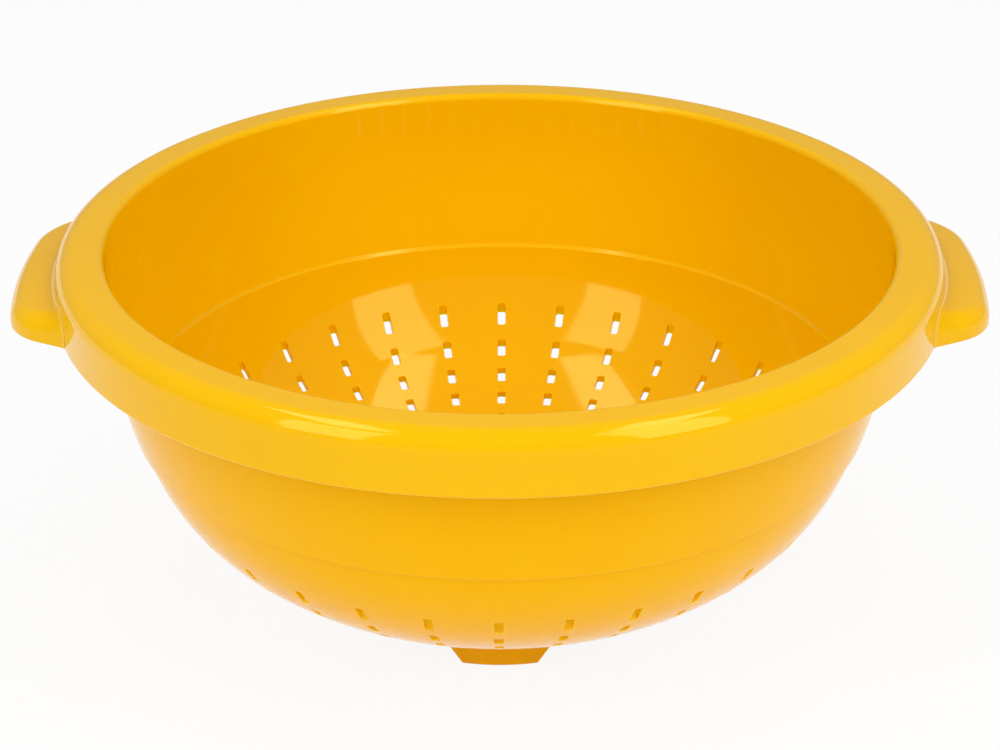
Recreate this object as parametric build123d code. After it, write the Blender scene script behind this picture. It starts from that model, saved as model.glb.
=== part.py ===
from build123d import *
import os
from math import acos, cos, pi, radians, sin, sqrt, tan

# Colander: one thin plastic moulding, in millimetres, standing on its feet.
# The origin is the centre of the plane that the feet stand on. +Z is up,
# the handles lie along X, and the photographed side faces -Y.
# A depth is measured down from the top of the rim.

# Overall
rim_inner_radius = 124.3
wall = 1.9

# Rim: a level flange with a turned-down skirt
rim_width = 15.5
rim_flare = 0.4
rim_inner_round = 2.2
rim_outer_round = 6.2
rim_web_round = 0.8
rim_root_depth = 6.0
skirt_seam_drop = 1.6
skirt_depth = 19.4
skirt_edge_round = 0.7

# Upper wall: unbroken and slightly bellied, from the rim down to the ledge
wall_top_inset = 0.1
wall_taper = 7.9
wall_belly = 2.0
ledge_depth = 53.9
ledge_step = 0.9
ledge_drop = 1.0
ledge_lag = 3.6
ledge_round = 0.5

# Strainer: two tangent arcs from the ledge down to a level floor
bowl_slope = 79.4
bowl_shoulder_radius = 64.6
bowl_turn_slope = 41.6
bowl_base_radius = 90.2
strainer_seam_drop = 1.2
gate_radius = 4.0
gate_recess = 0.4

# Slots: all of one size in plan, because the mould draws them straight down
slot_width = 3.0
slot_length = 4.0
slot_columns = 32
least_web = 6.5
first_row_inset = 9.8
row_pitch = 7.6
shoulder_rows = 2
side_rows = 3
plain_centre_radius = 12.0

# Feet: four short stretches of one ring, between two rows of slots
foot_height = 12.4
foot_ring_share = 0.46
foot_tip_thickness = 2.6
foot_draft = 1.5
foot_tip_width = 23.6
foot_flank_angle = 36.0
foot_edge_round = 0.7
foot_angles = {"front_foot": 270, "right_foot": 0, "back_foot": 90, "left_foot": 180}

# Handles: hollow ears outside the skirt, open underneath
handle_reach = 13.8
handle_edge_radius = 200.0
handle_half_width = 44.0
handle_flank_angle = 27.0
handle_corner_round = 19.0
handle_top_share = 0.5
handle_fall = 10.0
handle_edge_round = 6.0
handle_root_round = 3.5
handle_wall = 2.0

# Cutting tools pass this far beyond what they cut
overrun = 5.0

# Radii that follow from the rim's mouth, from the outside in
rim_outer_radius = rim_inner_radius + rim_width
wall_top_radius = rim_inner_radius - wall_top_inset
ledge_radius = wall_top_radius - wall_taper
first_row_radius = ledge_radius - first_row_inset
shoulder_seam = first_row_radius - row_pitch * (shoulder_rows - 0.5)
floor_seam = shoulder_seam - row_pitch * side_rows
foot_gap = round(first_row_radius * (1 - foot_ring_share) / row_pitch - 0.5)
foot_ring_middle = first_row_radius - row_pitch * (foot_gap + 0.5)

# Heights that follow from the feet and the bowl's two arcs
steep, gentle = radians(bowl_slope), radians(bowl_turn_slope)
shoulder_fall = bowl_shoulder_radius * (cos(gentle) - cos(steep))
base_fall = bowl_base_radius * (1 - cos(gentle))
bowl_depth = ledge_depth + ledge_drop + shoulder_fall + base_fall
overall_height = foot_height + wall + bowl_depth
handle_top_depth = skirt_depth * handle_top_share
skirt_seam_depth = rim_outer_round + skirt_seam_drop


def level(depth):
    """Height above the standing plane of a depth below the rim."""
    return overall_height - depth


def polygon(*points):
    """A face from corners drawn as radius and height."""
    return make_face(Polyline(*points, close=True))


def band(inner, outer, low, high):
    """A rectangle between two radii and two heights."""
    width, height = outer - inner, high - low
    return Pos(inner + width / 2, low + height / 2) * Rectangle(width, height)


def spun(face, seam_angle=0):
    """A face drawn as radius and height, revolved about the bowl's axis from its seam."""
    return Rot(0, 0, seam_angle) * revolve(Plane.XZ * face, Axis.Z)


def rounded(face, point, radius):
    """The face with its corner nearest to the point rounded."""
    corner = face.vertices().sort_by_distance(Vector(*point))[0]
    return fillet(corner, radius)


class Bowl:
    """The strainer's two tangent arcs, as seen in its section."""

    def __init__(self):
        self.top_height = level(ledge_depth + ledge_drop)
        self.shoulder_x = ledge_radius - ledge_step - bowl_shoulder_radius * sin(steep)
        self.shoulder_z = self.top_height + bowl_shoulder_radius * cos(steep)
        longer = bowl_base_radius - bowl_shoulder_radius
        self.base_x = self.shoulder_x - longer * sin(gentle)
        self.base_z = self.shoulder_z + longer * cos(gentle)

    def shoulder_point(self, angle, skin):
        """A point of the upper arc, skin outside the inner surface."""
        reach = bowl_shoulder_radius + skin
        return (self.shoulder_x + reach * sin(angle), self.shoulder_z - reach * cos(angle))

    def base_point(self, angle, skin):
        """A point of the lower arc, skin outside the inner surface."""
        reach = bowl_base_radius + skin
        return (self.base_x + reach * sin(angle), self.base_z - reach * cos(angle))

    def top_point(self, height, skin):
        """The point of the upper arc at a height."""
        slope = acos((self.shoulder_z - height) / (bowl_shoulder_radius + skin))
        return self.shoulder_point(slope, skin)

    def floor_height(self, skin):
        """Height of the level floor."""
        return self.base_point(0, skin)[1]

    def edges(self, top_height, skin):
        """Both arcs and the level floor, from a height down to the axis."""
        top_slope = acos((self.shoulder_z - top_height) / (bowl_shoulder_radius + skin))
        middle = self.shoulder_point((top_slope + gentle) / 2, skin)
        turn = self.shoulder_point(gentle, skin)
        floor = self.base_point(0, skin)
        return [
            ThreePointArc(self.shoulder_point(top_slope, skin), middle, turn),
            ThreePointArc(turn, self.base_point(gentle / 2, skin), floor),
            Line(floor, (0, floor[1])),
        ]


bowl = Bowl()
strainer_seam = bowl.top_height - strainer_seam_drop


def belly_arc(top, bottom):
    """The upper wall's line between two points, bowed outwards."""
    middle = ((top[0] + bottom[0]) / 2 + wall_belly, (top[1] + bottom[1]) / 2)
    return ThreePointArc(top, middle, bottom)


def wall_section():
    """The whole wall below the rim's root, from the axis outwards."""
    root = level(rim_root_depth)
    step_height = bowl.top_height - ledge_lag
    inner_top, outer_top = (wall_top_radius, root), (wall_top_radius + wall, root)
    inner_ledge = (ledge_radius, level(ledge_depth))
    outer_ledge = (ledge_radius + wall, level(ledge_depth + ledge_lag))
    inner_step = bowl.top_point(bowl.top_height, 0)
    outer_step = bowl.top_point(step_height, wall)
    face = make_face(
        Wire(
            [
                Line(inner_top, outer_top),
                belly_arc(inner_top, inner_ledge),
                Line(inner_ledge, inner_step),
                *bowl.edges(bowl.top_height, 0),
                Line((0, bowl.floor_height(0)), (0, bowl.floor_height(wall))),
                *bowl.edges(step_height, wall),
                Line(outer_ledge, outer_step),
                belly_arc(outer_top, outer_ledge),
            ]
        )
    )
    for corner in (inner_ledge, inner_step, outer_ledge, outer_step):
        face = rounded(face, corner, ledge_round)
    return face


def rim_section():
    """The flange's level top, its inner lip and the turned-down skirt."""
    top, under, foot = level(0), level(wall), level(skirt_depth)
    root = level(rim_root_depth)
    lip, corner = (rim_inner_radius, top), (rim_outer_radius - rim_flare, top)
    skirt_tip = (rim_outer_radius, foot)
    skirt_top = (rim_outer_radius - rim_flare - wall, under)
    web = (rim_inner_radius + wall, under)
    face = polygon(
        (wall_top_radius, root),
        lip,
        corner,
        skirt_tip,
        (rim_outer_radius - wall, foot),
        skirt_top,
        web,
        (wall_top_radius + wall, root),
    )
    face = rounded(face, lip, rim_inner_round)
    face = rounded(face, corner, rim_outer_round)
    face = rounded(face, skirt_tip, skirt_edge_round)
    face = rounded(face, skirt_top, rim_outer_round - wall)
    return rounded(face, web, rim_web_round)


def rim_plug():
    """Everything inside the skirt's outer surface, filled."""
    foot, top = level(skirt_depth), level(0)
    corner = (rim_outer_radius - rim_flare, top)
    face = polygon((0, foot), (rim_outer_radius, foot), corner, (0, top))
    return spun(rounded(face, corner, rim_outer_round), 90)


def slot_rows(outer, inner):
    """Plan radii of the rows of slots between two radii, from the outside in."""
    room = first_row_radius - slot_length / 2 - plain_centre_radius
    radii = [first_row_radius - row_pitch * row for row in range(int(room / row_pitch) + 1)]
    return [radius for radius in radii if inner < radius < outer]


def columns_at(radius):
    """Evenly spaced columns, halved wherever the webs would be too thin."""
    columns = slot_columns
    while 2 * pi * radius / columns < slot_width + least_web:
        columns //= 2
    return columns


def slot_cutters(outer, inner):
    """Straight cutters for the rows of slots between two radii."""
    aligned = (Align.CENTER, Align.CENTER, Align.MIN)
    cutter = Box(slot_length, slot_width, overall_height + overrun, align=aligned)
    return [
        Rot(0, 0, 90 + 360 * column / columns_at(radius)) * Pos(radius, 0, 0) * cutter
        for radius in slot_rows(outer, inner)
        for column in range(columns_at(radius))
    ]


def make_rim_flange():
    """The level top, its outer roll and the root of the wall."""
    skirt = band(rim_inner_radius + rim_outer_round, rim_outer_radius, 0, level(skirt_seam_depth))
    return spun(rim_section() - skirt)


def make_rim_skirt():
    """The turned-down band outside the bowl."""
    below = band(rim_inner_radius + rim_outer_round, rim_outer_radius, 0, level(skirt_seam_depth))
    return spun(rim_section() & below)


def make_upper_wall():
    """The unbroken wall from the rim's root to the ledge."""
    above = band(0, rim_outer_radius, strainer_seam, overall_height)
    return spun(wall_section() & above)


def make_strainer_ring(outer, inner):
    """The slotted part of the bowl between two radii."""
    ring = band(inner, outer, 0, strainer_seam)
    return spun(wall_section() & ring) - slot_cutters(outer, inner)


def make_strainer_floor():
    """The shallow dish in the middle, with the mould's gate mark beneath it."""
    dish = band(0, floor_seam, 0, strainer_seam)
    gate = band(0, gate_radius, 0, bowl.floor_height(wall) + gate_recess)
    return spun((wall_section() & dish) - gate) - slot_cutters(floor_seam, 0)


def make_foot():
    """One stretch of the foot ring, facing +X, up to the bowl's underside."""
    height = bowl.floor_height(0) + overrun
    inner = foot_ring_middle - foot_tip_thickness / 2
    outer = foot_ring_middle + foot_tip_thickness / 2
    spread = tan(radians(foot_draft)) * height
    ring = polygon((inner, 0), (outer, 0), (outer + spread, height), (inner - spread, height))
    for tip in ((inner, 0), (outer, 0)):
        ring = rounded(ring, tip, foot_edge_round)
    half_tip = foot_tip_width / 2
    half_root = half_tip + tan(radians(foot_flank_angle)) * height
    front = polygon((-half_tip, 0), (half_tip, 0), (half_root, height), (-half_root, height))
    for tip in ((-half_tip, 0), (half_tip, 0)):
        front = rounded(front, tip, foot_edge_round)
    flanks = extrude(Plane.YZ * front, outer + spread + overrun)
    underside = bowl.edges(bowl.top_height, wall)
    lid = Line((0, bowl.top_height), underside[0] @ 0)
    axis = Line((0, bowl.floor_height(wall)), (0, bowl.top_height))
    return (spun(ring, 180) & flanks) - spun(make_face(Wire([*underside, axis, lid])), 180)


def handle_plan(inset):
    """The ear seen from above, drawn in by inset and run into the rim."""
    tip = rim_outer_radius + handle_reach
    root = sqrt(rim_outer_radius**2 - handle_half_width**2)
    slope = tan(radians(handle_flank_angle))
    start = rim_outer_radius - handle_reach
    half_start = handle_half_width + (root - start) * slope
    half_tip = handle_half_width - (tip - root) * slope
    blank = polygon((start, -half_start), (tip, -half_tip), (tip, half_tip), (start, half_start))
    plan = blank & (Pos(tip - handle_edge_radius, 0) * Circle(handle_edge_radius))
    plan = fillet(plan.vertices().sort_by(Axis.X)[-2:], handle_corner_round)
    return offset(plan, -inset) if inset else plan


def under_handle_top(skin):
    """All that lies at least skin beneath the ear's falling top."""
    reach = rim_outer_radius + handle_reach + overrun
    fall = tan(radians(handle_fall))
    at_skirt = level(handle_top_depth + skin)
    corner_height = at_skirt - (reach - rim_outer_radius) * fall
    peak = at_skirt + rim_outer_radius * fall
    return spun(polygon((0, 0), (reach, 0), (reach, corner_height), (0, peak)))


def on_skirt(edge):
    """Whether an edge lies on the skirt, clear of its two rounded edges."""
    middle = edge @ 0.5
    radius = sqrt(middle.X**2 + middle.Y**2)
    low, high = level(skirt_depth - skirt_edge_round), level(rim_outer_round)
    return abs(radius - rim_outer_radius) < rim_flare and low < middle.Z < high


def ear_form(foot, inset):
    """The ear's rounded form from its foot up, drawn in by inset."""
    block = Pos(0, 0, foot) * extrude(handle_plan(inset), skirt_depth + overrun)
    ear = block & under_handle_top(inset)
    top = ear.faces().sort_by(Axis.Z)[-1]
    hidden = rim_outer_radius - handle_reach + inset + handle_wall
    free_edges = [edge for edge in top.edges() if (edge @ 0.5).X > hidden]
    return fillet(free_edges, handle_edge_round - inset)


def make_handle():
    """The right-hand ear, blended into the skirt and hollow underneath."""
    foot = level(skirt_depth)
    plug = rim_plug()
    body = plug + ear_form(foot, 0)
    body = fillet([edge for edge in body.edges() if on_skirt(edge)], handle_root_round)
    lowest = body.edges().filter_by_position(Axis.Z, foot - rim_flare, foot + rim_flare)
    body = fillet(lowest, skirt_edge_round)
    return body - plug - ear_form(foot - overrun, handle_wall)


right_handle = make_handle()
foot = make_foot()
nodes = {
    "rim_flange": make_rim_flange(),
    "rim_skirt": make_rim_skirt(),
    "upper_wall": make_upper_wall(),
    "strainer_shoulder": make_strainer_ring(rim_outer_radius, shoulder_seam),
    "strainer_side": make_strainer_ring(shoulder_seam, floor_seam),
    "strainer_floor": make_strainer_floor(),
    "right_handle": right_handle,
    "left_handle": Rot(0, 0, 180) * right_handle,
}
for name, angle in foot_angles.items():
    nodes[name] = Rot(0, 0, angle) * foot

os.makedirs("parts", exist_ok=True)
for name, shape in nodes.items():
    export_step(shape, f"parts/{name}.step")
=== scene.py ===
"""Studio picture of a two-handled colander: one glossy moulding on a pale floor.

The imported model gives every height, radius and place. The bowl is drawn again here as a fine
section, spun into a sector whose lines run along the sides of the slots, pierced, and repeated.
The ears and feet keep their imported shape, with their surfaces joined and smoothed.
All lengths are metres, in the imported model's own frame.
"""

import logging
import math
from dataclasses import dataclass, field
from enum import Enum, IntEnum

import bmesh
import bpy
from mathutils import Matrix, Quaternion, Vector
from mathutils.bvhtree import BVHTree


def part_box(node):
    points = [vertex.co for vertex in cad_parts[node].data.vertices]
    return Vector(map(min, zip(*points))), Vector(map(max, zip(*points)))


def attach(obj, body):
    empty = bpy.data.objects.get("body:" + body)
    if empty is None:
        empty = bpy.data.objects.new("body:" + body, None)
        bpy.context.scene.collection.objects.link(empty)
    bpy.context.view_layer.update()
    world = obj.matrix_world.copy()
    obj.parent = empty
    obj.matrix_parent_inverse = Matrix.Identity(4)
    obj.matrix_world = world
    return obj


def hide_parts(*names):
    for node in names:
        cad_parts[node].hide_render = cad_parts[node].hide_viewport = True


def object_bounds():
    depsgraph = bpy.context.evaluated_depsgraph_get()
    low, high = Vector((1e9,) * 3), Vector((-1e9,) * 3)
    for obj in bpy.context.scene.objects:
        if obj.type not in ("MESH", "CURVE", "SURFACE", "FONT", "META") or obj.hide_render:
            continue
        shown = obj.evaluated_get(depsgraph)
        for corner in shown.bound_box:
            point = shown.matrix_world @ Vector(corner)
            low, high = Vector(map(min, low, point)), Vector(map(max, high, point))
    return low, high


Pair = tuple[float, float]
Triple = tuple[float, float, float]
Colour = tuple[float, float, float, float]
Mesh = bmesh.types.BMesh
Face = bmesh.types.BMFace
Edge = bmesh.types.BMEdge
Vert = bmesh.types.BMVert
Socket = bpy.types.NodeSocket
Tree = bpy.types.NodeTree

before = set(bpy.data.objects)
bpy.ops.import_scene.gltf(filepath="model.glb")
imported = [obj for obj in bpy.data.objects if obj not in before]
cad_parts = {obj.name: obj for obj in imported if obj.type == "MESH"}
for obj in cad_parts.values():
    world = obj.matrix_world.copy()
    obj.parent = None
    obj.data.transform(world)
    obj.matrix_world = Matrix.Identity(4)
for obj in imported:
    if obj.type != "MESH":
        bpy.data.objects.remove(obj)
CAD_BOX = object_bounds()
LOG = logging.getLogger("colander")
MM = 0.001
WELD = 0.002 * MM


class Foot(Enum):
    """The four feet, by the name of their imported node."""

    FRONT = "front_foot"
    RIGHT = "right_foot"
    BACK = "back_foot"
    LEFT = "left_foot"


class Ear(Enum):
    """The two ear handles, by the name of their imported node."""

    RIGHT = "right_handle"
    LEFT = "left_handle"


class Skin(IntEnum):
    """What a face of the bowl belongs to."""

    SPUN = 1
    SLOT_WALL = 2
    SLOT_EDGE = 3


class Zone(IntEnum):
    """The parts of the bowl's surface, by the number of the finish on their faces."""

    INSIDE = 0
    SLOT = 1
    OUTSIDE = 2


@dataclass(frozen=True)
class Station:
    """One point of the bowl's section: plan radius, height and the size of its rounding."""

    radius: float
    height: float
    rounding: float = 0.0
    steps: int = 0

    def point(self) -> Vector:
        """The station as a point of the XZ plane."""
        return Vector((self.radius, 0.0, self.height))


@dataclass(frozen=True)
class StrainerArcs:
    """The strainer's two tangent arcs, drawn for its inner surface."""

    top_radius: float
    top_height: float
    top_slope: float = math.radians(79.4)
    turn_slope: float = math.radians(41.6)
    shoulder: float = 64.6 * MM
    base: float = 90.2 * MM

    def centres(self) -> tuple[float, float, float, float]:
        """The centres of the upper and the lower arc.

        Returns:
            Radius and height of the upper centre, then of the lower one.
        """
        upper_radius = self.top_radius - self.shoulder * math.sin(self.top_slope)
        upper_height = self.top_height + self.shoulder * math.cos(self.top_slope)
        longer = self.base - self.shoulder
        lower_radius = upper_radius - longer * math.sin(self.turn_slope)
        lower_height = upper_height + longer * math.cos(self.turn_slope)
        return upper_radius, upper_height, lower_radius, lower_height

    def height(self, radius: float, skin: float) -> float:
        """Height of the surface at a plan radius.

        Args:
            radius: Distance from the bowl's axis.
            skin: How far outside the inner surface, square to it.

        Returns:
            Height above the standing plane.
        """
        upper_radius, upper_height, lower_radius, lower_height = self.centres()
        turn = upper_radius + (self.shoulder + skin) * math.sin(self.turn_slope)
        if radius >= turn:
            reach = self.shoulder + skin
            return upper_height - math.sqrt(max(reach**2 - (radius - upper_radius) ** 2, 0.0))
        reach = self.base + skin
        return lower_height - math.sqrt(reach**2 - max(radius - lower_radius, 0.0) ** 2)

    def radius(self, height: float, skin: float) -> float:
        """Plan radius of the upper arc at a height.

        Args:
            height: Height above the standing plane.
            skin: How far outside the inner surface, square to it.

        Returns:
            Distance from the bowl's axis.
        """
        upper_radius, upper_height, _, _ = self.centres()
        return upper_radius + math.sqrt((self.shoulder + skin) ** 2 - (upper_height - height) ** 2)


@dataclass
class SlotRings:
    """The rows of slots: where each lies, and how many slots go round it."""

    width: float = 2.75 * MM
    length: float = 4.1 * MM
    pitch: float = 7.6 * MM
    columns: int = 32
    least_web: float = 6.75 * MM
    plain_centre: float = 12.0 * MM
    row_steps: int = 3
    web_steps: int = 2

    def rows(self, first: float) -> list[float]:
        """Plan radii of the rows, from the outside in.

        Args:
            first: Plan radius of the outermost row.

        Returns:
            The middle radius of every row.
        """
        room = first - self.length / 2 - self.plain_centre
        return [first - self.pitch * row for row in range(int(room / self.pitch) + 1)]

    def columns_at(self, radius: float) -> int:
        """Slots round a ring, halved wherever the webs would be too thin.

        Args:
            radius: Plan radius of the row.

        Returns:
            How many slots go round.
        """
        count = self.columns
        while 2 * math.pi * radius / count < self.width + self.least_web:
            count //= 2
        return count

    def half_angle(self, radius: float) -> float:
        """Half the angle that a slot takes up at a plan radius."""
        return math.asin(self.width / 2 / radius)


@dataclass
class Bowl:
    """Rim, upper wall and strainer: everything that is round, in one closed mesh."""

    wall: float = 1.9 * MM
    rim_width: float = 15.5 * MM
    rim_flare: float = 0.4 * MM
    lip_round: float = 2.2 * MM
    roll_round: float = 6.2 * MM
    web_round: float = 0.8 * MM
    root_depth: float = 6.0 * MM
    skirt_depth: float = 19.4 * MM
    skirt_round: float = 0.7 * MM
    wall_inset: float = 0.1 * MM
    wall_taper: float = 7.9 * MM
    wall_belly: float = 2.0 * MM
    ledge_depth: float = 53.9 * MM
    ledge_step: float = 0.9 * MM
    ledge_drop: float = 1.0 * MM
    ledge_lag: float = 3.6 * MM
    ledge_round: float = 0.5 * MM
    first_row_inset: float = 9.8 * MM
    gate_radius: float = 4.0 * MM
    gate_recess: float = 0.4 * MM
    slot_round: float = 0.2 * MM
    slot_corner: float = 0.5 * MM
    gap_share: float = 0.85
    upright_turn: float = math.radians(45)
    least_level: float = 0.2
    slot_crowding: float = 2.0
    web_crowding: float = 0.75
    lines_per_column: int = 8
    columns_per_sector: int = 4
    corner_steps: int = 3
    mouth_steps: int = 2
    lip_steps: int = 8
    roll_steps: int = 12
    edge_steps: int = 4
    ledge_steps: int = 3
    gate_steps: int = 2
    inner_steep_steps: int = 9
    outer_steep_steps: int = 8
    belly_steps: int = 8
    long_run: float = 4.0
    slots: SlotRings = field(default_factory=SlotRings)
    top: float = field(init=False)
    rim_radius: float = field(init=False)
    mouth: float = field(init=False)
    wall_top: float = field(init=False)
    ledge: float = field(init=False)
    arcs: StrainerArcs = field(init=False)
    rows: list[float] = field(init=False)
    sector_angle: float = field(init=False)
    first_place: int = field(init=False)
    line_angle: float = field(init=False)

    def __post_init__(self) -> None:
        """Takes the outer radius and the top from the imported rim, and works inwards from there."""
        self.top = CAD_BOX[1].z
        self.rim_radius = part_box("rim_skirt")[1].x
        self.mouth = self.rim_radius - self.rim_width
        self.wall_top = self.mouth - self.wall_inset
        self.ledge = self.wall_top - self.wall_taper
        step_height = self.top - self.ledge_depth - self.ledge_drop
        self.arcs = StrainerArcs(self.ledge - self.ledge_step, step_height)
        self.rows = self.slots.rows(self.ledge - self.first_row_inset)
        self.sector_angle = 2 * math.pi * self.columns_per_sector / self.slots.columns
        # The sector starts a column and a half before azimuth zero, where no row has a slot.
        self.first_place = -self.lines_per_column * 3 // 2
        self.line_angle = 2 * math.pi / self.slots.columns / self.lines_per_column

    def strainer_radii(self) -> list[float]:
        """Plan radii shared by both surfaces, with a line on both ends of every slot.

        Returns:
            Radii from the plain centre outwards, up to the first row's outer end.
        """
        half = self.slots.length / 2
        web = self.slots.pitch - self.slots.length
        radii = [self.rows[-1] - half - web / self.slots.web_steps]
        for row in reversed(self.rows):
            steps = self.slots.row_steps
            radii += [row - half + self.slots.length * step / steps for step in range(steps + 1)]
            if row != self.rows[0]:
                inner_steps = range(1, self.slots.web_steps)
                radii += [row + half + web * step / self.slots.web_steps for step in inner_steps]
        return radii

    def steep_stretch(self, top_radius: float, skin: float, steps: int) -> list[Station]:
        """The slotless arc between the first row and the ledge.

        Args:
            top_radius: Plan radius at the ledge.
            skin: How far outside the inner surface.
            steps: How many pieces the arc is drawn in.

        Returns:
            Stations going outwards, without the first row's end and the ledge's corner.
        """
        start = self.rows[0] + self.slots.length / 2
        upper_radius, upper_height, _, _ = self.arcs.centres()
        reach = self.arcs.shoulder + skin
        low = math.asin((start - upper_radius) / reach)
        high = math.asin((top_radius - upper_radius) / reach)
        angles = [low + (high - low) * step / steps for step in range(1, steps)]
        return [
            Station(upper_radius + reach * math.sin(angle), upper_height - reach * math.cos(angle))
            for angle in angles
        ]

    def bellied(self, top: Station, bottom: Station) -> list[Station]:
        """The upper wall's line, bowed outwards.

        Args:
            top: Its upper end.
            bottom: Its lower end.

        Returns:
            Stations going up, without the two ends.
        """
        shares = [step / self.belly_steps for step in range(1, self.belly_steps)]
        return [
            Station(
                bottom.radius + (top.radius - bottom.radius) * share
                + 4 * self.wall_belly * share * (1 - share),
                bottom.height + (top.height - bottom.height) * share,
            )
            for share in shares
        ]

    def inner_stations(self) -> list[Station]:
        """The inside, from the axis up to the root of the rim.

        Returns:
            Stations in order.
        """
        arcs, radii = self.arcs, self.strainer_radii()
        centre = [Station(share * radii[0], arcs.height(0.0, 0.0)) for share in (0.0, 0.5)]
        strainer = [Station(radius, arcs.height(radius, 0.0)) for radius in radii]
        steep = self.steep_stretch(arcs.top_radius, 0.0, self.inner_steep_steps)
        step = Station(arcs.top_radius, arcs.top_height, self.ledge_round, self.ledge_steps)
        ledge_height = self.top - self.ledge_depth
        ledge = Station(self.ledge, ledge_height, self.ledge_round, self.ledge_steps)
        root = Station(self.wall_top, self.top - self.root_depth)
        return [*centre, *strainer, *steep, step, ledge, *self.bellied(root, ledge), root]

    def rim_stations(self) -> list[Station]:
        """The lip, the rolled outer edge, the skirt and the web, from the inside round.

        Returns:
            Stations in order.
        """
        under, foot = self.top - self.wall, self.top - self.skirt_depth
        roll_radius = self.rim_radius - self.rim_flare
        inner_tip_round = self.skirt_round / 2
        return [
            Station(self.mouth, self.top, self.lip_round, self.lip_steps),
            Station(roll_radius, self.top, self.roll_round, self.roll_steps),
            Station(self.rim_radius, foot, self.skirt_round, self.edge_steps),
            Station(self.rim_radius - self.wall, foot, inner_tip_round, self.ledge_steps),
            Station(roll_radius - self.wall, under, self.roll_round - self.wall, self.edge_steps),
            Station(self.mouth + self.wall, under, self.web_round, self.edge_steps),
        ]

    def outer_stations(self) -> list[Station]:
        """The outside, from the root of the rim down to the axis, with the mould's gate mark.

        Returns:
            Stations in order.
        """
        arcs, wall, radii = self.arcs, self.wall, self.strainer_radii()
        root = Station(self.wall_top + wall, self.top - self.root_depth)
        ledge_height = self.top - self.ledge_depth - self.ledge_lag
        ledge = Station(self.ledge + wall, ledge_height, self.ledge_round, self.ledge_steps)
        step_height = arcs.top_height - self.ledge_lag
        step_radius = arcs.radius(step_height, wall)
        step = Station(step_radius, step_height, self.ledge_round, self.ledge_steps)
        steep = self.steep_stretch(step_radius, wall, self.outer_steep_steps)
        strainer = [Station(radius, arcs.height(radius, wall)) for radius in reversed(radii)]
        underside = arcs.height(0.0, wall)
        gate_top, gate_round = underside + self.gate_recess, self.gate_recess / 4
        gate_edge = Station(self.gate_radius, underside, gate_round, self.gate_steps)
        gate_root = Station(self.gate_radius, gate_top, gate_round, self.gate_steps)
        axis = Station(0.0, gate_top)
        belly = self.bellied(root, ledge)[::-1]
        return [root, *belly, ledge, step, *steep[::-1], *strainer, gate_edge, gate_root, axis]

    def draw_section(self, mesh: Mesh) -> None:
        """Draws the section as one line in the XZ plane and rounds its corners.

        Args:
            mesh: An empty mesh, which gets the line.
        """
        stations = [*self.inner_stations(), *self.rim_stations(), *self.outer_stations()]
        corners = [mesh.verts.new(station.point()) for station in stations]
        for start, end in zip(corners, corners[1:]):
            mesh.edges.new((start, end))
        for index, station in enumerate(stations):
            if not station.rounding:
                continue
            here = stations[index].point()
            back = (stations[index - 1].point() - here).normalized()
            ahead = (stations[index + 1].point() - here).normalized()
            tangent = station.rounding / math.tan(back.angle(ahead) / 2)
            bmesh.ops.bevel(
                mesh, geom=[corners[index]], offset=tangent, offset_type="OFFSET",
                segments=station.steps, profile=0.5, affect="VERTICES", material=-1,
                clamp_overlap=False,
            )

    def mark_normals(self, mesh: Mesh, start: Vert) -> None:
        """Stores the section's true normal at each of its points.

        Between two pieces of one arc the normal is that of the circle through three points. A
        long straight keeps its own normal right up to its ends.

        Args:
            mesh: The mesh that holds the section's line.
            start: The line's first point, on the axis.
        """
        layer = mesh.verts.layers.float_vector["section_normal"]
        chain, used = [start], set()
        while True:
            ahead = [edge for edge in chain[-1].link_edges if edge not in used]
            if not ahead:
                break
            used.add(ahead[0])
            chain.append(ahead[0].other_vert(chain[-1]))
        runs = [after.co - before.co for before, after in zip(chain, chain[1:])]
        sides = [Vector((run.z, 0.0, -run.x)).normalized() for run in runs]
        lengths = [run.length for run in runs]
        chain[0][layer], chain[-1][layer] = -sides[0], -sides[-1]
        for index in range(1, len(chain) - 1):
            before, after = lengths[index - 1], lengths[index]
            if max(before, after) > self.long_run * min(before, after):
                normal = sides[index - 1] if before > after else sides[index]
            else:
                normal = sides[index - 1] / before + sides[index] / after
            chain[index][layer] = -normal.normalized()

    def line_turn(self, line: int, radius: float) -> float:
        """Where one of the sector's lines runs at a plan radius.

        Lines next to a column of slots run along its parallel sides. The others leave room for
        the rounding of the slots' edges, and lie closer together away from them.

        Args:
            line: Number of the line, counted from the sector's first.
            radius: Plan radius.

        Returns:
            The line's azimuth, with the sector's first column at zero.
        """
        nearest = min(self.rows, key=lambda row: abs(row - radius + WELD))
        count = self.slots.columns_at(nearest)
        thinning = self.slots.columns // count
        half_lines = self.lines_per_column // 2 * thinning
        half_span = math.pi / count
        place = line + self.first_place
        column = round(place / (2 * half_lines))
        offset = place - column * 2 * half_lines
        least = self.rows[-1] - self.slots.length / 2
        side = self.slots.half_angle(max(radius, least))
        reach = abs(offset)
        if reach <= thinning:
            turn = side * (reach / thinning) ** self.slot_crowding
        else:
            share = (reach - thinning) / (half_lines - thinning)
            turn = side + (half_span - side) * share**self.web_crowding
        return column * 2 * half_span + math.copysign(turn, offset)

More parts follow.
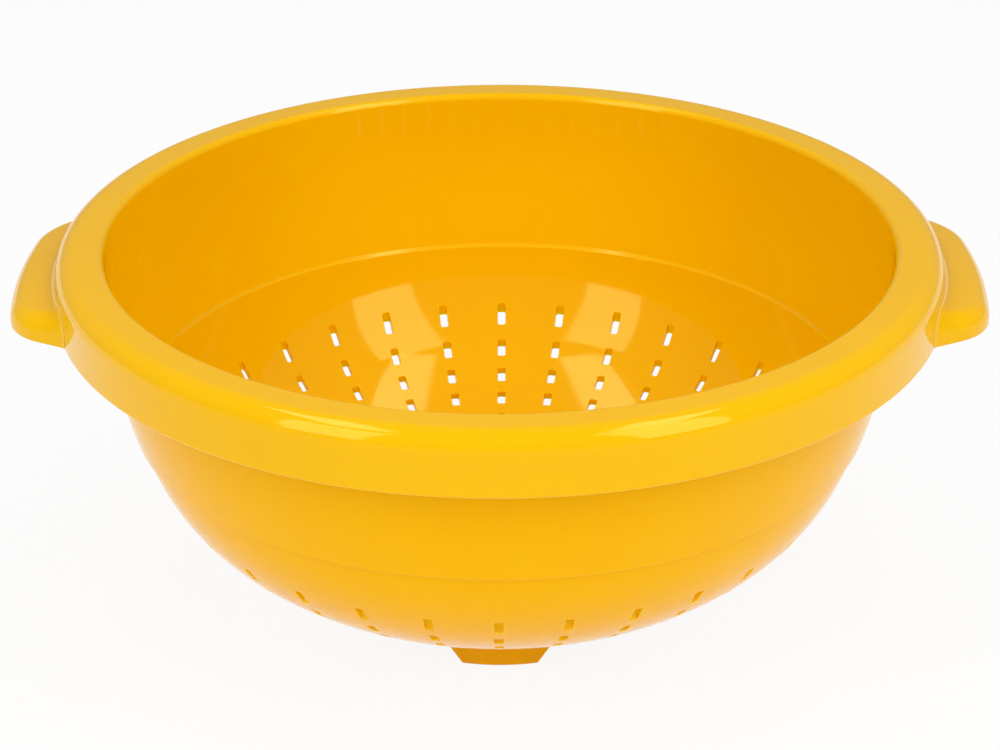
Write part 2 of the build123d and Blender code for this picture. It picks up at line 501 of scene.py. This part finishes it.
    def spin_sector(self, mesh: Mesh) -> None:
        """Spins the section into one sector and lays its lines along the slots.

        Args:
            mesh: The mesh that holds the section's line.
        """
        steps = self.lines_per_column * self.columns_per_sector
        first = self.first_place * self.line_angle
        turn = Matrix.Rotation(first, 3, "Z")
        bmesh.ops.rotate(mesh, verts=mesh.verts[:], cent=(0, 0, 0), matrix=turn)
        bmesh.ops.spin(
            mesh, geom=[*mesh.verts, *mesh.edges], cent=(0, 0, 0), axis=(0, 0, 1),
            dvec=(0, 0, 0), angle=self.sector_angle, steps=steps,
            use_merge=False, use_duplicate=False,
        )
        for vertex in mesh.verts:
            radius = math.hypot(vertex.co.x, vertex.co.y)
            if radius < WELD:
                continue
            line = round((math.atan2(vertex.co.y, vertex.co.x) - first) / self.line_angle)
            turn_now = self.line_turn(line, radius)
            vertex.co.x, vertex.co.y = radius * math.cos(turn_now), radius * math.sin(turn_now)
        bmesh.ops.remove_doubles(mesh, verts=mesh.verts[:], dist=WELD)

    def slot_places(self) -> list[Pair]:
        """Plan radius and azimuth of each slot in one sector.

        Returns:
            One pair for each slot.
        """
        places = []
        first = self.first_place * self.line_angle
        for row in self.rows:
            count = self.slots.columns_at(row)
            turns = [2 * math.pi * column / count for column in range(-count, count)]
            places += [(row, turn) for turn in turns if first < turn < first + self.sector_angle]
        return places

    def line_gaps(self, row: float) -> Pair:
        """How far the next lines are from a slot's side, at the inner end of a row.

        Args:
            row: Plan radius of the row.

        Returns:
            The gap within the slot, and the gap in the web beside it.
        """
        count = self.slots.columns_at(row)
        thinning = self.slots.columns // count
        half_lines = self.lines_per_column // 2 * thinning
        web = math.pi / count * (row - self.slots.length / 2) - self.slots.width / 2
        in_slot = self.slots.width / 2 * (1 - (1 - 1 / thinning) ** self.slot_crowding)
        return in_slot, web * (1 / (half_lines - thinning)) ** self.web_crowding

    def slot_faces(self, mesh: Mesh) -> dict[float, list[list[Face]]]:
        """Finds the faces that lie over each slot of the sector, on both surfaces.

        Args:
            mesh: The mesh that holds the sector.

        Returns:
            For each row, one list of faces for each of its slots.
        """
        half_length, half_width = self.slots.length / 2, self.slots.width / 2
        found: dict[Pair, list[Face]] = {}
        places = self.slot_places()
        for face in mesh.faces:
            middle = face.calc_center_median()
            radius, azimuth = math.hypot(middle.x, middle.y), math.atan2(middle.y, middle.x)
            if radius > self.rows[0] + half_length:
                continue
            for row, column in places:
                across = abs(radius * math.sin(azimuth - column))
                if abs(radius - row) < half_length and across < half_width:
                    found.setdefault((row, column), []).append(face)
        return {row: [faces for key, faces in found.items() if key[0] == row] for row in self.rows}

    def open_slot(self, mesh: Mesh, faces: list[Face]) -> set[Face]:
        """Opens one slot and drops its walls straight down from the inside to the outside.

        Args:
            mesh: The mesh that holds the sector.
            faces: The faces over the slot, on both surfaces.

        Returns:
            The slot's walls.
        """
        inside = set(faces)
        border = {
            edge for face in faces for edge in face.edges
            if sum(linked in inside for linked in edge.link_faces) == 1
        }
        rim = {vertex for edge in border for vertex in edge.verts}
        beneath: dict[Vert, Vert] = {}
        for vertex in rim:
            plan = vertex.co.to_2d()
            partner = min(rim - {vertex}, key=lambda other: (other.co.to_2d() - plan).length)
            if partner.co.z < vertex.co.z:
                beneath[vertex] = partner
        upper = [edge for edge in border if all(vertex in beneath for vertex in edge.verts)]
        bmesh.ops.delete(mesh, geom=faces, context="FACES")
        dropped = bmesh.ops.extrude_edge_only(mesh, edges=upper)["geom"]
        targets = {
            vertex: beneath[min(beneath, key=lambda above: (above.co - vertex.co).length)]
            for vertex in dropped if isinstance(vertex, Vert)
        }
        bmesh.ops.weld_verts(mesh, targetmap=targets)
        return {
            face for vertex in beneath for face in vertex.link_faces
            if all(corner in rim for corner in face.verts)
        }

    def soften(self, mesh: Mesh, edges: set[Edge], size: float, skin: Skin) -> None:
        """Rounds some edges. What a corner's rounding leaves level with a surface belongs to it.

        Args:
            mesh: The mesh that holds the sector.
            edges: The edges.
            size: Radius of the rounding.
            skin: What the new faces belong to, which also gives the number of steps.
        """
        kind = mesh.faces.layers.int["skin"]
        steps = self.corner_steps if skin == Skin.SLOT_WALL else self.mouth_steps
        rounded = bmesh.ops.bevel(
            mesh, geom=list(edges), offset=size, offset_type="OFFSET",
            segments=steps, profile=0.5, affect="EDGES", material=-1, clamp_overlap=False,
        )
        for face in rounded["faces"]:
            face.normal_update()
            level = skin == Skin.SLOT_WALL and abs(face.normal.z) > self.least_level
            face[kind] = Skin.SPUN if level else skin

    def pierce(self, mesh: Mesh) -> None:
        """Opens the sector's slots, and rounds their corners and then their mouths.

        Args:
            mesh: The mesh that holds the sector.
        """
        kind = mesh.faces.layers.int["skin"]
        for face in mesh.faces:
            face[kind] = Skin.SPUN
        for row, slots in self.slot_faces(mesh).items():
            in_slot, in_web = self.line_gaps(row)
            walls = [wall for faces in slots for wall in self.open_slot(mesh, faces)]
            for wall in walls:
                wall[kind] = Skin.SLOT_WALL
            uprights = {
                edge for wall in walls for edge in wall.edges
                if all(face[kind] == Skin.SLOT_WALL for face in edge.link_faces)
                and edge.calc_face_angle(0.0) > self.upright_turn
            }
            corner = min(self.slot_corner, in_slot * self.gap_share)
            self.soften(mesh, uprights, corner, Skin.SLOT_WALL)
            mouths = {
                edge for wall in mesh.faces if wall[kind] == Skin.SLOT_WALL for edge in wall.edges
                if any(face[kind] == Skin.SPUN for face in edge.link_faces)
            }
            size = min(self.slot_round, in_web * self.gap_share)
            self.soften(mesh, mouths, size, Skin.SLOT_EDGE)

    def repeat_sector(self, mesh: Mesh) -> None:
        """Repeats the sector all the way round and welds it.

        Args:
            mesh: The mesh that holds the pierced sector.
        """
        count = self.slots.columns // self.columns_per_sector
        bmesh.ops.spin(
            mesh, geom=[*mesh.verts, *mesh.edges, *mesh.faces], cent=(0, 0, 0), axis=(0, 0, 1),
            dvec=(0, 0, 0), angle=self.sector_angle * (count - 1), steps=count - 1,
            use_merge=False, use_duplicate=True,
        )
        bmesh.ops.remove_doubles(mesh, verts=mesh.verts[:], dist=WELD)
        bmesh.ops.recalc_face_normals(mesh, faces=mesh.faces[:])

    def smooth_normals(self, mesh: Mesh) -> list[Vector]:
        """The normal at each vertex, taken from the section wherever it is on a spun face.

        Args:
            mesh: The finished mesh.

        Returns:
            One normal for each vertex, in order.
        """
        kind = mesh.faces.layers.int["skin"]
        layer = mesh.verts.layers.float_vector["section_normal"]
        normals = []
        for vertex in mesh.verts:
            spun = [face for face in vertex.link_faces if face[kind] == Skin.SPUN]
            walls = [face for face in vertex.link_faces if face[kind] == Skin.SLOT_WALL]
            faces = spun or walls or list(vertex.link_faces)
            weighted = sum((face.normal * face.calc_area() for face in faces), Vector())
            if spun:
                section = Vector(vertex[layer])
                azimuth = math.atan2(vertex.co.y, vertex.co.x)
                turned = Matrix.Rotation(azimuth, 3, "Z") @ section
                weighted = turned if turned.dot(weighted) > 0 else -turned
            normals.append(weighted.normalized())
        return normals

    def zone(self, face: Face, skin: int) -> Zone:
        """Which part of the surface a face is on. The outside ends where the skirt hides it.

        Args:
            face: A face of the finished mesh.
            skin: What it belongs to.

        Returns:
            The part, with the rim and the skirt counted as inside.
        """
        if skin in (Skin.SLOT_WALL, Skin.SLOT_EDGE):
            return Zone.SLOT
        middle = face.calc_center_median().to_2d()
        outwards = middle.normalized().dot(face.normal.to_2d()) - face.normal.z
        within = middle.length < self.mouth + self.rim_width / 2
        return Zone.OUTSIDE if within and outwards > 0 else Zone.INSIDE

    def build(self) -> bpy.types.Object:
        """Models the bowl.

        Returns:
            The finished object, at the origin.
        """
        mesh = bmesh.new()
        mesh.verts.layers.float_vector.new("section_normal")
        mesh.faces.layers.int.new("skin")
        self.draw_section(mesh)
        mesh.verts.ensure_lookup_table()
        self.mark_normals(mesh, mesh.verts[0])
        self.spin_sector(mesh)
        self.pierce(mesh)
        self.repeat_sector(mesh)
        kind = mesh.faces.layers.int["skin"]
        for face in mesh.faces:
            face.material_index = self.zone(face, face[kind])
        return finish_mesh(mesh, "moulded_bowl", self.smooth_normals(mesh))


def finish_mesh(mesh: Mesh, name: str, normals: list[Vector] | None = None) -> bpy.types.Object:
    """Turns a bmesh into a smooth-shaded object at the origin.

    Args:
        mesh: The mesh, which is freed.
        name: The object's name.
        normals: One normal for each vertex, where they aren't left to Blender.

    Returns:
        The new object, in the scene.
    """
    for face in mesh.faces:
        face.smooth = True
    data = bpy.data.meshes.new(name)
    mesh.to_mesh(data)
    mesh.free()
    if normals:
        data.normals_split_custom_set_from_vertices(normals)
    made = bpy.data.objects.new(name, data)
    bpy.context.scene.collection.objects.link(made)
    return made


class HostSkin:
    """The bowl's surface, as the ears and feet meet it."""

    def __init__(self, bowl: bpy.types.Object, touch: float = 0.06 * MM) -> None:
        """Prepares the surface for quick searches.

        Args:
            bowl: The finished bowl.
            touch: How near a point must be to count as touching.
        """
        mesh = bmesh.new()
        mesh.from_mesh(bowl.data)
        self.tree = BVHTree.FromBMesh(mesh)
        mesh.free()
        self.touch = touch

    def normal_at(self, point: Vector) -> Vector | None:
        """The surface's normal where a point touches it.

        Args:
            point: The point.

        Returns:
            The normal, turned to the point's own azimuth, or None where nothing is touched.
        """
        _, normal, _, distance = self.tree.find_nearest(point)
        if distance > self.touch:
            return None
        outward = Vector((point.x, point.y, 0.0)).normalized()
        return (outward * outward.dot(normal) + Vector((0.0, 0.0, normal.z))).normalized()


@dataclass
class PackedPiece:
    """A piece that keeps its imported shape, with its loose triangles joined and smoothed."""

    node: str
    name: str
    crease: float = math.radians(32)
    blend: float = math.radians(25)

    def fan(self, corner: Vert, start: Face) -> set[Face]:
        """Finds the faces round a vertex that join one of them without a crease.

        Args:
            corner: The vertex.
            start: One of the faces round it.

        Returns:
            The faces, with the first one.
        """
        joined, waiting = {start}, [start]
        while waiting:
            for edge in waiting.pop().edges:
                if corner not in edge.verts or edge.calc_face_angle(math.pi) > self.crease:
                    continue
                fresh = [face for face in edge.link_faces if face not in joined]
                joined.update(fresh)
                waiting += fresh
        return joined

    def corner_normals(self, mesh: Mesh, host: HostSkin) -> list[Vector]:
        """Smooth normals by area, which run over into the bowl's where a blend meets it.

        Args:
            mesh: The piece.
            host: The bowl's surface.

        Returns:
            One normal for each corner of each face, in order.
        """
        found: dict[tuple[int, int], Vector] = {}
        for vertex in mesh.verts:
            left = set(vertex.link_faces)
            touched = host.normal_at(vertex.co)
            while left:
                faces = self.fan(vertex, next(iter(left)))
                left -= faces
                normal = sum((face.normal * face.calc_area() for face in faces), Vector())
                normal.normalize()
                if touched and normal.angle(touched, math.pi) < self.blend:
                    normal = touched
                found.update({(face.index, vertex.index): normal for face in faces})
        return [found[face.index, corner.index] for face in mesh.faces for corner in face.verts]

    def build(self, host: HostSkin) -> bpy.types.Object:
        """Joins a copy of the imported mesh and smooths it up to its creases.

        Args:
            host: The bowl's surface.

        Returns:
            The finished object, at the origin.
        """
        mesh = bmesh.new()
        mesh.from_mesh(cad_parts[self.node].data)
        bmesh.ops.remove_doubles(mesh, verts=mesh.verts[:], dist=WELD)
        bmesh.ops.dissolve_degenerate(mesh, edges=mesh.edges[:], dist=WELD)
        mesh.verts.index_update()
        mesh.faces.index_update()
        for edge in mesh.edges:
            edge.smooth = edge.calc_face_angle(0.0) < self.crease
        normals = self.corner_normals(mesh, host)
        made = finish_mesh(mesh, self.name)
        made.data.normals_split_custom_set(normals)
        return made


@dataclass(frozen=True)
class Grain:
    """One noise pattern: its features per metre, finer layers, their strength and its bend."""

    scale: float
    detail: float
    roughness: float = 0.5
    bend: float = 0.0


class NodeSheet:
    """A short way to place and link shader nodes in one tree."""

    def __init__(self, tree: Tree) -> None:
        """Starts from an empty tree.

        Args:
            tree: The tree to fill.
        """
        self.tree = tree
        self.tree.nodes.clear()

    def add(self, kind: str, inputs: dict | None = None, **settings: object) -> bpy.types.Node:
        """Adds a node.

        Args:
            kind: Its type, without the leading ShaderNode.
            inputs: Values or sockets for its inputs, by name or number.
            **settings: Its properties.

        Returns:
            The new node.
        """
        prefix = "" if kind.startswith("Node") else "ShaderNode"
        node = self.tree.nodes.new(prefix + kind)
        for name, value in settings.items():
            setattr(node, name, value)
        for name, value in (inputs or {}).items():
            if isinstance(value, Socket):
                self.tree.links.new(value, node.inputs[name])
            else:
                node.inputs[name].default_value = value
        return node

    def noise(self, place: Socket, grain: Grain) -> Socket:
        """Adds a noise texture.

        Args:
            place: Where on the object it is read.
            grain: Its pattern.

        Returns:
            Its value, between 0 and 1.
        """
        made = self.add(
            "TexNoise",
            {"Vector": place, "Scale": grain.scale, "Detail": grain.detail,
             "Roughness": grain.roughness, "Distortion": grain.bend},
        )
        return made.outputs["Fac"]

    def band(self, value: Socket, ends: Pair, levels: Pair = (0.0, 1.0)) -> Socket:
        """Spreads a band of values over a new range.

        Args:
            value: The value.
            ends: The band's ends, which clip the value.
            levels: What the ends become.

        Returns:
            The new value.
        """
        made = self.add(
            "MapRange",
            {"Value": value, "From Min": ends[0], "From Max": ends[1], "To Min": levels[0],
             "To Max": levels[1]},
        )
        return made.outputs["Result"]

    def math(self, operation: str, *values: float | Socket) -> Socket:
        """Works out one step of arithmetic.

        Args:
            operation: The Math node's operation.
            *values: Its values, in order.

        Returns:
            The result.
        """
        return self.add("Math", dict(enumerate(values)), operation=operation).outputs["Value"]


def new_group(name: str, inputs: dict[str, str], output: str, kind: str) -> Tree:
    """Makes an empty shader node group.

    Args:
        name: The group's name.
        inputs: Type of each input beside the place, by name, without the leading NodeSocket.
        output: Name of its one output.
        kind: Type of that output.

    Returns:
        The new group.
    """
    group = bpy.data.node_groups.new(name, "ShaderNodeTree")
    for label, way in {"Place": "Vector", **inputs}.items():
        group.interface.new_socket(label, in_out="INPUT", socket_type="NodeSocket" + way)
    group.interface.new_socket(output, in_out="OUTPUT", socket_type="NodeSocket" + kind)
    return group


@dataclass(frozen=True)
class MouldFlow:
    """Faint cloudiness of dyed plastic: slow changes of tone through the moulding."""

    name: str = "mould_flow"
    cloud: Grain = Grain(26.0, 3.0)
    streak: Grain = Grain(9.0, 4.0, bend=0.6)
    draw: Triple = (1.0, 1.0, 0.25)
    tones: Pair = (0.12, 0.40)

    def build(self) -> Tree:
        """Builds the group.

        Returns:
            A group that turns a dye into the moulded plastic's colour.
        """
        sockets = {"Dye": "Color", "Depth": "Color", "Amount": "Float"}
        group = new_group(self.name, sockets, "Colour", "Color")
        sheet = NodeSheet(group)
        given = sheet.add("NodeGroupInput").outputs
        drawn = sheet.add("Mapping", {"Vector": given["Place"], "Scale": self.draw})
        cloud = sheet.noise(given["Place"], self.cloud)
        streak = sheet.noise(drawn.outputs["Vector"], self.streak)
        spread = sheet.band(sheet.math("MULTIPLY", cloud, streak), self.tones)
        share = sheet.math("MULTIPLY", spread, given["Amount"])
        # A Mix node's colours are its inputs 6 and 7 and its output 2.
        mixed = sheet.add(
            "Mix", {"Factor": share, 6: given["Dye"], 7: given["Depth"]}, data_type="RGBA"
        )
        sheet.add("NodeGroupOutput", {"Colour": mixed.outputs[2]})
        return group


@dataclass(frozen=True)
class HandlingMarks:
    """Fine scuffs and a breath of haze, which dull the gloss here and there."""

    name: str = "handling_marks"
    haze: Grain = Grain(14.0, 5.0, roughness=0.6)
    hazy: Pair = (0.45, 0.75)
    scuff: Grain = Grain(900.0, 2.0)
    scuffed: Pair = (0.66, 0.74)
    scuff_draw: Triple = (1.0, 0.06, 1.0)
    scuff_turn: Triple = (0.0, 0.0, 0.6)

    def build(self) -> Tree:
        """Builds the group.

        Returns:
            A group that gives the roughness of a handled surface.
        """
        sockets = {"Gloss": "Float", "Haze": "Float", "Scuffs": "Float"}
        group = new_group(self.name, sockets, "Roughness", "Float")
        sheet = NodeSheet(group)
        given = sheet.add("NodeGroupInput").outputs
        drawn = sheet.add(
            "Mapping",
            {"Vector": given["Place"], "Scale": self.scuff_draw, "Rotation": self.scuff_turn},
        )
        haze = sheet.band(sheet.noise(given["Place"], self.haze), self.hazy)
        scuff = sheet.band(sheet.noise(drawn.outputs["Vector"], self.scuff), self.scuffed)
        hazed = sheet.math("MULTIPLY_ADD", haze, given["Haze"], given["Gloss"])
        marked = sheet.math("MULTIPLY_ADD", scuff, given["Scuffs"], hazed)
        sheet.add("NodeGroupOutput", {"Roughness": marked})
        return group


@dataclass(frozen=True)
class MouldSkinRelief:
    """Relief of a polished mould: a slow ripple where the wall cooled, and a fine orange peel."""

    name: str = "mould_skin"
    ripple: Grain = Grain(38.0, 1.0)
    peel: Grain = Grain(520.0, 2.0)

    def build(self) -> Tree:
        """Builds the group.

        Returns:
            A group that gives a height for a Bump node.
        """
        group = new_group(self.name, {"Ripple": "Float", "Peel": "Float"}, "Height", "Float")
        sheet = NodeSheet(group)
        given = sheet.add("NodeGroupInput").outputs
        ripple = sheet.noise(given["Place"], self.ripple)
        peel = sheet.noise(given["Place"], self.peel)
        slow = sheet.math("MULTIPLY", ripple, given["Ripple"])
        height = sheet.math("MULTIPLY_ADD", peel, given["Peel"], slow)
        sheet.add("NodeGroupOutput", {"Height": height})
        return group


@dataclass(frozen=True)
class PlasticFinish:
    """Dyed polypropylene out of a polished mould."""

    name: str
    dye: Colour = (0.9, 0.495, 0.0, 1.0)
    depth: Colour = (0.87, 0.46, 0.0, 1.0)
    cloud: float = 0.35
    gloss: float = 0.05
    haze: float = 0.05
    scuffs: float = 0.04
    ripple: float = 1.0
    peel: float = 0.03
    shine: float = 0.5
    sheen_tint: Colour = (1.0, 0.84, 0.28, 1.0)
    relief: float = 0.05 * MM
    refraction: float = 1.49
    glow: float = 0.15
    glow_depth: float = 3.0 * MM
    glow_spread: Triple = (1.0, 0.45, 0.08)

    def build(self, groups: dict[str, Tree]) -> bpy.types.Material:
        """Builds the material.

        Args:
            groups: The shared node groups, by name.

        Returns:
            The new material.
        """
        material = bpy.data.materials.new(self.name)
        material.use_nodes = True
        sheet = NodeSheet(material.node_tree)
        place = sheet.add("TexCoord").outputs["Object"]
        tone = sheet.add(
            "Group",
            {"Place": place, "Dye": self.dye, "Depth": self.depth, "Amount": self.cloud},
            node_tree=groups["mould_flow"],
        )
        marks = sheet.add(
            "Group",
            {"Place": place, "Gloss": self.gloss, "Haze": self.haze, "Scuffs": self.scuffs},
            node_tree=groups["handling_marks"],
        )
        skin = sheet.add(
            "Group", {"Place": place, "Ripple": self.ripple, "Peel": self.peel},
            node_tree=groups["mould_skin"],
        )
        bump = sheet.add("Bump", {"Height": skin.outputs["Height"], "Distance": self.relief})
        shader = sheet.add(
            "BsdfPrincipled",
            {"Base Color": tone.outputs["Colour"], "Roughness": marks.outputs["Roughness"],
             "Normal": bump.outputs["Normal"], "IOR": self.refraction,
             "Subsurface Weight": self.glow, "Subsurface Radius": self.glow_spread,
             "Subsurface Scale": self.glow_depth, "Specular IOR Level": self.shine,
             "Specular Tint": self.sheen_tint},
        )
        sheet.add("OutputMaterial", {"Surface": shader.outputs["BSDF"]})
        return material


class Plastic(Enum):
    """The colander's finishes: one dyed plastic as each part of the mould leaves it; the slot walls,
    outside and feet have a lighter dye as painted light.
    """

    POLISHED = PlasticFinish("polished_plastic")
    # Painted light: the slot walls get a lighter dye than the plastic's own, standing in for light
    # that the shaded walls lack. Their full subsurface glow is real translucency.
    SLOT_WALL = PlasticFinish(
        "slot_wall_plastic", dye=(1.0, 0.54, 0.0, 1.0), depth=(1.0, 0.52, 0.0, 1.0),
        gloss=0.12, shine=0.3, glow=1.0, glow_depth=3.5 * MM,
    )
    # Painted light: the downward-facing outside gets a lighter, redder dye than the plastic's own,
    # standing in for light it lacks. Its duller gloss is the real satin finish.
    SATIN = PlasticFinish(
        "satin_plastic", dye=(0.95, 0.49, 0.0, 1.0), depth=(0.92, 0.46, 0.0, 1.0),
        gloss=0.12, shine=0.12,
    )
    HANDLED = PlasticFinish("handled_plastic", haze=0.1, scuffs=0.08, glow=0.0)
    # Painted light: the feet get a lighter, redder dye than the plastic's own, standing in for light
    # they lack beneath the bowl. Their rougher gloss and scuffs are real wear.
    SCUFFED = PlasticFinish(
        "scuffed_plastic", dye=(1.0, 0.48, 0.0, 1.0), depth=(0.97, 0.45, 0.0, 1.0),
        gloss=0.24, haze=0.14, scuffs=0.2, shine=0.3, glow=0.0,
    )


@dataclass(frozen=True)
class FloorFinish:
    """A pale paper sweep, seen as near white with a soft shadow by the camera and in the gloss."""

    name: str = "pale_floor"
    grain: Grain = Grain(420.0, 4.0)
    grain_ends: Pair = (0.3, 0.7)
    tones: Pair = (0.955, 0.985)
    tooth: float = 0.04 * MM
    lift: float = 0.9

    def build(self) -> bpy.types.Material:
        """Builds the material.

        Returns:
            The new material.
        """
        material = bpy.data.materials.new(self.name)
        material.use_nodes = True
        sheet = NodeSheet(material.node_tree)
        grain = sheet.noise(sheet.add("TexCoord").outputs["Object"], self.grain)
        tone = sheet.band(grain, self.grain_ends, self.tones)
        bump = sheet.add("Bump", {"Height": grain, "Distance": self.tooth})
        matt = sheet.add("BsdfDiffuse", {"Color": tone, "Normal": bump.outputs["Normal"]})
        white = sheet.add("Emission", {"Color": (1.0, 1.0, 1.0, 1.0), "Strength": 1.0})
        path = sheet.add("LightPath").outputs
        seen = sheet.math("MAXIMUM", path["Is Camera Ray"], path["Is Glossy Ray"])
        seen = sheet.math("MAXIMUM", seen, path["Is Transmission Ray"])
        mixed = sheet.add(
            "MixShader",
            {"Fac": sheet.math("MULTIPLY", seen, self.lift), 1: matt.outputs["BSDF"],
             2: white.outputs["Emission"]},
        )
        sheet.add("OutputMaterial", {"Surface": mixed.outputs["Shader"]})
        return material


@dataclass(frozen=True)
class Softbox:
    """A rectangular studio lamp that shows as a plain panel in the gloss."""

    name: str
    place: Triple
    width: float
    height: float
    radiance: float
    turn: float = 0.0
    target: Triple = (0.0, 0.0, 0.08)

    def build(self) -> bpy.types.Object:
        """Makes the lamp and points it at the bowl.

        Returns:
            The lamp.
        """
        lamp = bpy.data.lights.new(self.name, "AREA")
        lamp.shape = "RECTANGLE"
        lamp.size, lamp.size_y = self.width, self.height
        lamp.energy = self.radiance * math.pi * self.width * self.height
        made = bpy.data.objects.new(self.name, lamp)
        made.location = self.place
        aim = Vector(self.target) - Vector(self.place)
        facing = aim.to_track_quat("-Z", "Y")
        made.rotation_euler = (facing @ Quaternion((0.0, 0.0, 1.0), self.turn)).to_euler()
        made.visible_camera = False
        bpy.context.scene.collection.objects.link(made)
        return made


@dataclass
class Studio:
    """Floor, dim surround, lamps and the camera at the photograph's angle."""

    floor_size: float = 40.0
    surround: float = 0.4
    camera_back: float = 0.83136
    camera_rise: float = 0.35816
    camera_orbit: float = math.radians(0.3438)
    camera_tilt: float = math.radians(63.862)
    camera_pan: float = math.radians(0.345)
    camera_roll: float = math.radians(-0.1951)
    lens: float = 103.107
    lamps: tuple[Softbox, ...] = (
        Softbox("softbox_right", (0.666, -0.664, 0.744), 0.44, 1.0, 3.8, math.radians(-6)),
        Softbox("softbox_left", (-0.662, -0.703, 0.707), 0.40, 0.90, 3.8, math.radians(8)),
        Softbox("overhead_right", (0.425, -0.088, 1.148), 0.60, 0.24, 4.6, math.radians(18)),
        Softbox("overhead_left", (-0.427, -0.073, 1.148), 0.60, 0.24, 4.6, math.radians(-9)),
    )

    def build_floor(self) -> bpy.types.Object:
        """Lays the floor under the feet.

        Returns:
            The floor.
        """
        mesh = bmesh.new()
        bmesh.ops.create_grid(mesh, x_segments=1, y_segments=1, size=self.floor_size / 2)
        floor = finish_mesh(mesh, "floor")
        floor.data.materials.append(FloorFinish().build())
        return floor

    def build_surround(self) -> None:
        """Surrounds the scene with the dim grey of a darkened studio."""
        world = bpy.data.worlds.new("darkened_studio")
        bpy.context.scene.world = world
        world.use_nodes = True
        sheet = NodeSheet(world.node_tree)
        grey = sheet.add("Background", {"Color": (1.0, 1.0, 1.0, 1.0), "Strength": self.surround})
        sheet.add("OutputWorld", {"Surface": grey.outputs["Background"]})

    def build_camera(self) -> bpy.types.Object:
        """Sets up the camera.

        Returns:
            The camera, which is the scene's own.
        """
        data = bpy.data.cameras.new("camera")
        data.lens = self.lens
        camera = bpy.data.objects.new("camera", data)
        stand = Vector((0.0, -self.camera_back, CAD_BOX[1].z + self.camera_rise))
        stand.rotate(Matrix.Rotation(self.camera_orbit, 3, "Z"))
        pan = Matrix.Rotation(self.camera_pan, 4, "Z")
        tilt = Matrix.Rotation(self.camera_tilt, 4, "X")
        roll = Matrix.Rotation(self.camera_roll, 4, "Z")
        camera.matrix_world = Matrix.Translation(stand) @ pan @ tilt @ roll
        bpy.context.scene.collection.objects.link(camera)
        bpy.context.scene.camera = camera
        return camera

    def build(self) -> None:
        """Builds the whole studio."""
        bpy.context.scene.view_settings.view_transform = "Standard"
        self.build_camera()
        self.build_floor()
        self.build_surround()
        for lamp in self.lamps:
            lamp.build()


@dataclass
class Colander:
    """The whole object: bowl, ears and feet, dressed in their finishes."""

    bowl: Bowl = field(default_factory=Bowl)
    round_nodes: tuple[str, ...] = (
        "rim_flange", "rim_skirt", "upper_wall",
        "strainer_shoulder", "strainer_side", "strainer_floor",
    )
    zone_finishes: tuple[Plastic, ...] = (Plastic.POLISHED, Plastic.SLOT_WALL, Plastic.SATIN)

    def dress(
        self, piece: bpy.types.Object, finishes: list[bpy.types.Material], *nodes: str
    ) -> None:
        """Gives a piece its finishes and its place in the frame.

        Args:
            piece: The finished piece.
            finishes: Its materials, in the order of the numbers on its faces.
            *nodes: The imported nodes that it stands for.
        """
        for finish in finishes:
            piece.data.materials.append(finish)
        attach(piece, "root")
        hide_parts(*nodes)
        LOG.info("%s: %d faces", piece.name, len(piece.data.polygons))

    def build(self) -> None:
        """Builds and dresses every piece."""
        groups = {made.name: made for made in (
            MouldFlow().build(), HandlingMarks().build(), MouldSkinRelief().build())}
        made = {plastic: plastic.value.build(groups) for plastic in Plastic}
        bowl = self.bowl.build()
        host = HostSkin(bowl)
        self.dress(bowl, [made[self.zone_finishes[zone]] for zone in Zone], *self.round_nodes)
        for ear in Ear:
            piece = PackedPiece(ear.value, ear.name.lower() + "_ear")
            self.dress(piece.build(host), [made[Plastic.HANDLED]], ear.value)
        for foot in Foot:
            piece = PackedPiece(foot.value, foot.name.lower() + "_standing_foot")
            self.dress(piece.build(host), [made[Plastic.SCUFFED]], foot.value)


def main() -> None:
    """Builds the studio and the colander."""
    logging.basicConfig(level=logging.INFO, format="%(message)s")
    Studio().build()
    Colander().build()


if __name__ == "__main__":
    main()
